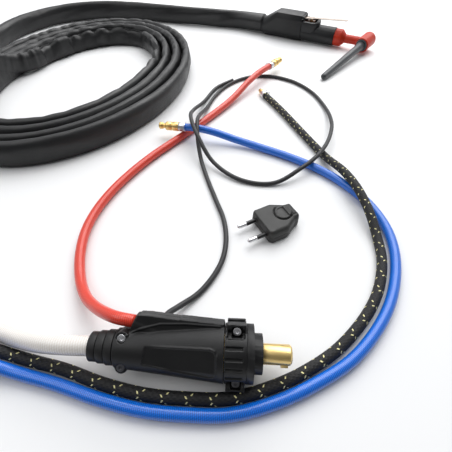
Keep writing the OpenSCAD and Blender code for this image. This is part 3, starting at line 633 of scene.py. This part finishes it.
def lineDistance(points, x, y):
    # Distance of each point to an open line of straight stretches
    best = np.full(len(x), 1.0)
    for (x0, y0), (x1, y1) in zip(points[:-1], points[1:]):
        length = (x1 - x0) ** 2 + (y1 - y0) ** 2
        w = np.clip(((x - x0) * (x1 - x0) + (y - y0) * (y1 - y0)) / length, 0, 1)
        best = np.minimum(best, np.hypot(x - x0 - w * (x1 - x0), y - y0 - w * (y1 - y0)))
    return best


def prism(bm, home, outline, z0, z1):
    # A closed block over an outline, both in the piece's own millimetres
    low, high = ([bm.verts.new(home @ (Vector((x, y, z)) / 1000)) for x, y in outline] for z in (z0, z1))
    bm.faces.new(low)
    bm.faces.new(high[::-1])
    for k in range(len(outline)):
        n = (k + 1) % len(outline)
        bm.faces.new((low[k], high[k], high[n], low[n]))


skinSoftening = 0.6


def mouldedSkin(node, mat, voxel, rounds, home=None, relief=None, added=None):
    # One skin with soft fillets: relief(x, y, z) moves its points outward, in the piece's own millimetres,
    # and added is the outline and the two heights of a block that joins it
    o = refined(node, mat, 0)
    me = o.data
    work = bpy.data.objects.new("skinWork", me.copy())
    if added:
        bm = bmesh.new()
        bm.from_mesh(work.data)
        prism(bm, home, *added)
        bm.to_mesh(work.data)
        bm.free()
    scene.collection.objects.link(work)
    r = work.modifiers.new("remesh", "REMESH")
    r.mode = "VOXEL"
    r.voxel_size = voxel
    c = work.modifiers.new("soften", "LAPLACIANSMOOTH")
    c.iterations = rounds
    c.lambda_factor = skinSoftening
    depsgraph = bpy.context.evaluated_depsgraph_get()
    fine = bpy.data.meshes.new_from_object(work.evaluated_get(depsgraph))
    bpy.data.objects.remove(work)
    if relief:
        count = len(fine.vertices)
        spots, outward = np.zeros(count * 3), np.zeros(count * 3)
        fine.vertices.foreach_get("co", spots)
        fine.vertex_normals.foreach_get("vector", outward)
        spots, outward = spots.reshape(count, 3), outward.reshape(count, 3)
        turn = np.array(home.inverted())
        local = (spots @ turn[:3, :3].T + turn[:3, 3]) * 1000
        spots += outward * (relief(*local.T) / 1000)[:, None]
        fine.vertices.foreach_set("co", spots.ravel())
        fine.update()
    fine.shade_smooth()
    fine.materials.clear()
    fine.materials.append(mat)
    o.data = fine
    return o


def placed(x, y, z, heading, roll=0.0):
    # Where a sub-assembly lies: its place in millimetres, its heading and its roll in degrees
    turn = Matrix.Rotation(math.radians(heading), 4, "Z") @ Matrix.Rotation(math.radians(roll), 4, "X")
    return Matrix.Translation((x / 1000, y / 1000, z / 1000)) @ turn


connectorHome = placed(-171, -296, 19.2, connectorHeading, 41)
mainsHome = placed(-51.5, -182, 0, 27.7)

# Raised lines of the housing, in the connector's own millimetres
housingRelief = {
    "panel": [(40, 6.2), (78.5, 7.2), (81.4, 6.2), (82.6, 3.6),
        (82.6, -7.2), (81.6, -9.6), (79, -10.8), (38, -5.4)],
    "seam": [(25, 10.6), (33, 14.6), (46, 18.2), (62, 18.9), (84, 18.2)],
    "lip": 0.62, "lipWidth": 1.0, "lipFade": (38, 52), "seamHeight": 0.55, "seamWidth": 1.0,
    "ear": [(58, 15), (58, 21.6), (86.6, 19.6), (86.6, 15)], "earHalf": 6.3,
}


def housingLines(x, y, z):
    # Lip of the side panel and the seam line, on the outside of the upper half only
    spec = housingRelief
    up = ease(0.5, 3, z) * ease(9.5, 11.5, np.hypot(y, z))
    panel = 1 - ease(0.25 * spec["lipWidth"], spec["lipWidth"], lineDistance(spec["panel"], x, y))
    seam = 1 - ease(0.2 * spec["seamWidth"], spec["seamWidth"], lineDistance(spec["seam"], x, y))
    faded = ease(*spec["lipFade"], x)
    return up * (spec["lip"] * panel * faded + spec["seamHeight"] * seam)


mouldedSkin("head_boot", surface["redSilicone"], 0.0005, 12)
for name, side in (("housing_upper", 1), ("housing_lower", -1)):
    depth = sorted((0, side * housingRelief["earHalf"]))
    mouldedSkin(name, surface["housingBlack"], 0.00048, 3, connectorHome, housingLines,
        (housingRelief["ear"], *depth))

# Grip ring: raised pads between grooves, with a plain band in front of them
ringRelief = {"radius": 18.5, "pads": 18, "turned": 0.35, "groove": 0.34, "depth": 1.3,
    "from": 88.2, "to": 98.4}


def ringPads(x, y, z):
    # Grooves cut between the pads, with short slopes at their edges and ends
    spec = ringRelief
    place = np.abs(np.mod(np.degrees(np.arctan2(z, y)) * spec["pads"] / 360 + spec["turned"], 1) - 0.5)
    groove = 1 - ease(spec["groove"] / 2 - 0.06, spec["groove"] / 2 + 0.02, place)
    begun = ease(spec["from"] - 0.3, spec["from"] + 0.2, x)
    ended = ease(spec["to"] - 0.2, spec["to"] + 0.3, x)
    radius = np.hypot(y, z)
    outside = ease(spec["radius"] - 1.0, spec["radius"] - 0.5, radius)
    lug = ease(spec["radius"] + 0.1, spec["radius"] + 0.5, radius)
    return -spec["depth"] * groove * begun * (1 - ended) * outside * (1 - lug)


mouldedSkin("grip_ring", surface["housingBlack"], 0.00042, 2, connectorHome, ringPads)

# The two screws on the side that faces down get a darker steel: painted shade
screws = pieces["housing_screws"].data
screws.materials.append(surface["burntSteel"])
for face in screws.polygons:
    face.material_index = 1 if (connectorHome.inverted() @ face.center).y < 0 else 0

# Body of the mains plug, in its own millimetres: x runs from its pins to its rear
plugBody = {
    "corners": [(0.3, 14.6), (2.6, 17), (18.5, 17), (29.6, 10.6), (34.6, 9.4), (36, 8.2),
        (36, -8.2), (34.6, -9.4), (29.6, -10.6), (18.5, -17), (2.6, -17), (0.3, -14.6)],
    "middle": (18, 0), "height": 14.0, "shoulder": 4.2, "frontShoulder": 1.3,
    "seam": 7.0, "seamDepth": 0.36, "foot": 0.8, "sideFoot": 1.4, "flare": 0.5,
    "boss": (23.8, 0.8), "bossRadius": 8.4, "groove": 1.7, "grooveDepth": 1.7, "crown": 0.5, "pocket": 5.9,
    "pocketDepth": 0.6, "pocketEnd": 2.8, "strapHalf": 6.2, "strapHeight": 0.9,
    "ribHeight": 0.16, "ribPitch": 1.6,
}
# Rows of points over its top, down its side (the seam is at 1) and under it
plugRows = {
    "around": 168, "top": 52, "topSpread": 0.75, "under": 8,
    "side": (0.15, 0.35, 0.6, 0.8, 0.9, 0.96, 1, 1.04, 1.1, 1.2, 1.4, 1.65, 1.85, 1.95),
}


def plugOutline():
    # Closed outline with rounded corners
    corners = np.array(plugBody["corners"] + plugBody["corners"][:1])
    step = lengthOf(corners) / plugRows["around"]
    line = resampled(np.column_stack([corners, np.zeros(len(corners))]), step)[:-1, :2]
    for _ in range(2):
        line = (np.roll(line, 1, axis=0) + 2 * line + np.roll(line, -1, axis=0)) / 4
    return line


def plugTop(x, y):
    # Raised and sunk details on the upper face
    b = plugBody
    dx, dy = x - b["boss"][0], y - b["boss"][1]
    away = np.hypot(dx, dy)
    facing = ease(-0.75, 0.1, -(0.75 * dx + 0.66 * dy) / np.maximum(away, 0.1))
    groove = 1 - ease(0.2 * b["groove"], 0.5 * b["groove"] + 0.2, np.abs(away - b["bossRadius"]))
    crown = b["crown"] * (1 - ease(b["bossRadius"] - 1.6, b["bossRadius"] - 0.4, away))
    inPocket = 1 - ease(b["pocket"] - 0.35, b["pocket"] + 0.15, away)
    pocket = inPocket * (1 - ease(b["pocketEnd"] - 0.15, b["pocketEnd"] + 0.15, dx))
    onStrap = 1 - ease(b["strapHalf"] - 0.3, b["strapHalf"] + 0.3, np.abs(dy))
    strap = onStrap * ease(b["pocketEnd"], b["pocketEnd"] + 0.4, dx) * (1 - 0.4 * ease(33, 36, x))
    ribs = b["ribHeight"] * np.cos(dx * 2 * math.pi / b["ribPitch"])
    raised = crown + (b["strapHeight"] + ribs) * strap
    return raised - b["grooveDepth"] * groove * facing - b["pocketDepth"] * pocket


def plugRings():
    # Rings of points from the middle of the top, over the shoulder, down the side and under to the middle
    b = plugBody
    edge = plugOutline()
    middle = np.array(b["middle"])
    ahead = np.roll(edge, -1, axis=0) - np.roll(edge, 1, axis=0)
    normal = np.stack([ahead[:, 1], -ahead[:, 0]], axis=1) / np.linalg.norm(ahead, axis=1)[:, None]
    reach = np.abs(((edge - middle) * normal).sum(axis=1))
    away = np.sign(((edge - middle) * normal).sum(axis=1))[:, None] * normal
    shoulder = b["frontShoulder"] + (b["shoulder"] - b["frontShoulder"]) * np.abs(normal[:, 1]) ** 1.5
    rings = []
    for t in np.linspace(0.02, 1, plugRows["top"]) ** plugRows["topSpread"]:
        ring = middle + (edge - middle) * t
        depth = np.minimum((1 - t) * reach, shoulder)
        z = b["height"] - shoulder + np.sqrt(shoulder ** 2 - (shoulder - depth) ** 2)
        rings.append(np.column_stack([ring, z + plugTop(*ring.T) * ease(0.6, 1.8, (1 - t) * reach)]))
    for w in plugRows["side"]:
        seam, top = b["seam"], b["height"] - shoulder
        z = top + (seam - top) * w if w <= 1 else np.full(len(edge), seam + (b["sideFoot"] - seam) * (w - 1))
        inset = b["seamDepth"] * float(1 - ease(0.02, 0.09, abs(w - 1)))
        spread = inset - b["flare"] * (1 - z / b["height"])
        rings.append(np.column_stack([edge - away * spread[:, None], z]))
    for t in np.linspace(1, 0.05, plugRows["under"]):
        ring = middle + (edge - middle) * t
        depth = min(1 - t, 0.04) / 0.04
        rings.append(np.column_stack([ring, np.full(len(edge), b["foot"] * (1 - depth) + 0.02)]))
    return rings


def makePlugBody():
    # One moulded skin in place of the two shells, the cord clamp and its screw
    rings = plugRings()
    verts = [mainsHome @ (Vector(p) / 1000) for ring in rings for p in ring]
    faces = ringFaces(len(rings), len(rings[0]))
    o = addMesh("mainsBody", verts, faces, surface["mainsGrey"], bodyOf["mains_upper"])
    bm = bmesh.new()
    bm.from_mesh(o.data)
    bmesh.ops.recalc_face_normals(bm, faces=bm.faces)
    bm.to_mesh(o.data)
    bm.free()
    o.data.shade_smooth()
    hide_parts("mains_upper", "mains_lower", "cord_clamp", "mains_screw")


makePlugBody()
print("hard pieces made")

cordSkins = {
    "power": hoseSkin["clearHoseSkin"], "blue": hoseSkin["blueHoseSkin"], "gas": gasBraid,
    "red": hoseSkin["redHoseSkin"], "cable": surface["cableGrey"],
}
cordMesh = {"step": 0.0025, "around": 24, "slimAround": 16, "slim": 0.006}
for name, mat in cordSkins.items():
    d = hoseSizes[name] / 1000
    fine = resampled(paths[name], cordMesh["step"])
    around = cordMesh["around"] if d > cordMesh["slim"] else cordMesh["slimAround"]
    o = tube(name + "Cord", fine, roundSection(d / 2), around, mat)
    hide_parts("control_cable" if name == "cable" else name + "_hose")

# The hose cover runs as a lead, four turns and a tail
coverSpec = {
    "centre": (-0.296, 0.109), "a": 0.206, "b": 0.157, "turn": math.radians(71), "turns": 4, "perTurn": 24,
    "first": 0.0065, "pitch": 0.0153, "leadInward": -0.008, "settle": math.radians(80),
    "height": 0.0162, "rise": 0.004, "riseOver": math.radians(40), "step": 0.0028,
    "halfThick": 0.0070, "handleThick": 0.0150, "leadThicker": 0.0012, "halfTall": 0.0157,
    "pucker": 0.0018, "innerPucker": 0.0085, "farSide": (0.06, 0.17), "around": 44,
}


def coilPoint(phi, inward):
    # A point of the oval, so far inside it
    a, b = coverSpec["a"] - inward, coverSpec["b"] - inward
    x, y = a * math.cos(phi), b * math.sin(phi)
    c, s = math.cos(coverSpec["turn"]), math.sin(coverSpec["turn"])
    return (coverSpec["centre"][0] + x * c - y * s, coverSpec["centre"][1] + x * s + y * c)


def coverPath():
    # Middle line: the lead settles into the oval, which winds inward and rises to the tail
    spec = coverSpec
    lead = np.array(route["lead"]) / 1000
    tail = np.array(route["tail"]) / 1000

    def fromLead(phi):
        x, y = coilPoint(phi, spec["leadInward"])
        return math.hypot(x - lead[-1][0], y - lead[-1][1])

    start = min(np.linspace(0, 2 * math.pi, 720, endpoint=False), key=fromLead)
    turns = []
    total = spec["turns"] * 2 * math.pi
    count = spec["perTurn"] * spec["turns"]
    for k in range(1, count):
        theta = total * k / count
        spiral = spec["first"] + spec["pitch"] * max(0, theta - spec["settle"]) / (2 * math.pi)
        w = float(ease(0, spec["settle"], theta))
        inward = spec["leadInward"] * (1 - w) + spiral * w
        rise = spec["rise"] * max(0.0, 1 - (total - theta) / spec["riseOver"])
        turns.append((*coilPoint(start + theta, inward), spec["height"] + rise))
    return smoothed(np.vstack([lead, turns, tail]), spec["step"])


coverLine = coverPath()
coverLength = lengthOf(coverLine)
print("cover length", round(coverLength, 3))
coverRun = np.concatenate([[0], np.cumsum(np.linalg.norm(np.diff(coverLine, axis=0), axis=1))])
tailStart = coverLength - lengthOf(smoothed(np.array(route["tail"]) / 1000))


# The cover's folds: depths and lengths in metres, creaseAt and creaseWidth in radians, leastFar a share of
# the full pucker, and each pitch in steps of noise to a metre
foldSpec = {
    "overHandle": 0.075, "alongLead": (0.75, 0.45), "lastTurn": (0.80, 0.62), "lastTurnEnd": 0.05,
    "leastFar": 0.15, "puckerPitch": 46, "innerPitch": 30, "creaseAt": 1.25, "creaseWidth": 0.13,
    "creaseDepth": 0.0011, "softPitch": 16, "soft": 0.0009, "leadSoft": 0.0014, "smallPitch": 75,
    "small": 0.00045, "tuck": 0.0003, "sink": 0.0030, "puckerSink": 0.0012, "innerSink": 0.003,
    "farSink": 0.0010, "lean": 0.0016,
}


def noiseAt(*spot):
    # Smooth noise, the same on every run
    return noise.noise(Vector(spot))


def coverSection(s, angles, grow=0.0):
    # Flattened sock: round over the handle, tall and narrow in the coil, puckered where it bends
    spec, fold = coverSpec, foldSpec
    nearHandle = float(ease(fold["overHandle"], 0, s))
    lead = float(ease(*fold["alongLead"], s))
    far = float(ease(*spec["farSide"], np.interp(s, coverRun, coverLine[:, 1])))
    far = far * (1 - lead) + fold["leastFar"]
    lastTurn = ease(tailStart - fold["lastTurn"][0], tailStart - fold["lastTurn"][1], s)
    lastTurn *= ease(tailStart + fold["lastTurnEnd"], tailStart - fold["lastTurnEnd"], s)
    innermost = float(lastTurn)

    # Plain outline
    thick = spec["halfThick"] + (spec["handleThick"] - spec["halfThick"]) * nearHandle
    thick += spec["leadThicker"] * lead * (1 - nearHandle)
    tall = spec["halfTall"] - 0.0006 * nearHandle
    across, up = np.cos(angles), np.sin(angles)
    power = 2 / (2.5 - 0.5 * nearHandle)
    x = thick * np.sign(across) * np.abs(across) ** power
    y = tall * np.sign(up) * np.abs(up) ** power

    # Puckers on the inside of a bend, one long crease near the top and soft lumps all round
    pitch = fold["puckerPitch"] + (fold["innerPitch"] - fold["puckerPitch"]) * innermost
    pucker = max(0.0, 1 - 2.5 * abs(noiseAt(s * pitch, 7.7, 0))) * far
    deepest = spec["pucker"] + (spec["innerPucker"] - spec["pucker"]) * innermost
    dent = pucker * ease(0.5, -0.5, across) * deepest * (0.55 + 0.45 * up)
    creaseAt = fold["creaseAt"] + 0.5 * noiseAt(s * 2.1, 9.2, 0)
    creaseDepth = fold["creaseDepth"] * max(0.0, 0.3 + 0.9 * noiseAt(s * 5.3, 2.2, 4))
    crease = np.exp(-((angles - creaseAt) / fold["creaseWidth"]) ** 2) * creaseDepth
    swell = np.zeros(len(angles))
    for i, a in enumerate(angles):
        soft = noiseAt(s * fold["softPitch"] + 0.8 * math.sin(a), math.sin(a) * 0.9, math.cos(a) * 0.8)
        small = noiseAt(s * fold["smallPitch"], math.sin(a) * 1.9, math.cos(a) * 1.4 + 5)
        swell[i] = (fold["soft"] + fold["leadSoft"] * lead) * soft + fold["small"] * (0.3 + far) * small
    wide = 1 + (np.minimum(swell, 2 * fold["tuck"]) - crease - fold["tuck"] + grow) / thick
    high = 1 + (0.4 * np.minimum(swell, 0.0005) - fold["tuck"] + grow) / tall

    # The upper edge sinks and leans a little
    lowered = fold["sink"] * (0.5 + noiseAt(s * 1.9, 1.1, 8))
    lowered += (fold["puckerSink"] + fold["innerSink"] * innermost) * pucker
    lowered += fold["farSink"] * far * max(0.0, noiseAt(s * 60, 3, 3))
    sunk = np.where(up > 0, up * lowered * (1 - nearHandle), 0)
    lean = fold["lean"] * noiseAt(s * 3.3, 5.5, 1) * up
    return x * wide + dent * (1 - nearHandle) + lean, y * high - sunk


cover = tube("hoseCover", coverLine, coverSection, coverSpec["around"], leatherette)
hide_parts("cover_lead", "cover_coil", "cover_tail")

# The band goes round the cover just before its end
bandSpec = {"from": 0.027, "to": 0.011, "thick": 0.0014}
onBand = (coverRun > coverLength - bandSpec["from"]) & (coverRun < coverLength - bandSpec["to"])
bandStart = float(coverRun[onBand][0])


def bandSection(s, angles):
    # The cover's own outline there, grown by the band
    return coverSection(s + bandStart, angles, bandSpec["thick"])


band = tube("coverBand", coverLine[onBand], bandSection, coverSpec["around"], surface["rubberBlack"])
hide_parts("cover_band")
print("cover made")

floorMat = material("floorWhite", (0.86, 0.865, 0.87), 0.6)


def fadeToWhite(m, near, far):
    # Far from the object the floor turns into the white of the room for what looks at it
    tree, shader = m.node_tree, shaderOf(m)
    spot = tree.nodes.new("ShaderNodeVectorMath")
    spot.operation = "LENGTH"
    tree.links.new(tree.nodes.new("ShaderNodeTexCoord").outputs["Object"], spot.inputs[0])
    span = tree.nodes.new("ShaderNodeMapRange")
    span.interpolation_type = "SMOOTHSTEP"
    span.inputs["From Min"].default_value = near
    span.inputs["From Max"].default_value = far
    tree.links.new(spot.outputs["Value"], span.inputs["Value"])
    seen = tree.nodes.new("ShaderNodeLightPath").outputs["Is Camera Ray"]
    glow = tree.nodes.new("ShaderNodeEmission")
    glow.inputs["Color"].default_value = (0.98, 0.98, 0.98, 1)
    mix = tree.nodes.new("ShaderNodeMixShader")
    tree.links.new(math2(tree, "MULTIPLY", span.outputs[0], seen), mix.inputs[0])
    tree.links.new(shader.outputs[0], mix.inputs[1])
    tree.links.new(glow.outputs[0], mix.inputs[2])
    tree.links.new(mix.outputs[0], tree.nodes["Material Output"].inputs["Surface"])


fadeToWhite(floorMat, near=0.9, far=2.2)
corners = [(-6, -3, 0), (6, -3, 0), (6, 6, 0), (-6, 6, 0)]
floor = addMesh("floor", corners, [(0, 1, 2, 3)], floorMat, smooth=False)

world = bpy.data.worlds.new("softRoom")
scene.world = world
world.use_nodes = True
background = world.node_tree.nodes["Background"]
background.inputs["Color"].default_value = (0.97, 0.98, 1.0, 1)
roomLight = {"front": 0.10, "back": 0.80, "seen": 0.98, "gloss": 0.08, "darkFrom": -0.75, "brightFrom": 0.65}


def lightRoom(tree):
    # Bright wall behind, dark room in front; plain white for what looks straight at it
    facing = tree.nodes.new("ShaderNodeSeparateXYZ")
    tree.links.new(tree.nodes.new("ShaderNodeTexCoord").outputs["Generated"], facing.inputs[0])
    wall = tree.nodes.new("ShaderNodeMapRange")
    wall.interpolation_type = "SMOOTHSTEP"
    wall.inputs["From Min"].default_value = roomLight["darkFrom"]
    wall.inputs["From Max"].default_value = roomLight["brightFrom"]
    wall.inputs["To Min"].default_value = roomLight["front"]
    wall.inputs["To Max"].default_value = roomLight["back"]
    tree.links.new(facing.outputs[1], wall.inputs["Value"])
    rays = tree.nodes.new("ShaderNodeLightPath")
    gloss = math2(tree, "MULTIPLY", rays.outputs["Is Glossy Ray"], roomLight["gloss"])
    soft = math2(tree, "ADD", wall.outputs[0], gloss)
    straight = math2(tree, "MAXIMUM", rays.outputs["Is Camera Ray"], rays.outputs["Is Transmission Ray"])
    hidden = math2(tree, "MULTIPLY", soft, math2(tree, "SUBTRACT", 1.0, straight))
    white = math2(tree, "MULTIPLY", straight, roomLight["seen"])
    tree.links.new(math2(tree, "ADD", hidden, white), background.inputs["Strength"])


lightRoom(world.node_tree)


# Place, size and power of each lamp
lamps = {"keyLight": ((0.25, 0.9, 1.25), 1.6, 28), "fillLight": ((-0.95, -0.25, 1.2), 1.0, 5)}
lampAim = Vector((-0.1, 0, 0))


def areaLight(name, place, size, power):
    # A soft square lamp that looks at the middle of the set
    data = bpy.data.lights.new(name, "AREA")
    data.energy = power
    data.size = size
    o = bpy.data.objects.new(name, data)
    o.location = place
    o.rotation_euler = (lampAim - Vector(place)).to_track_quat("-Z", "Y").to_euler()
    scene.collection.objects.link(o)


for name, (place, size, power) in lamps.items():
    areaLight(name, place, size, power)

print("scene done")
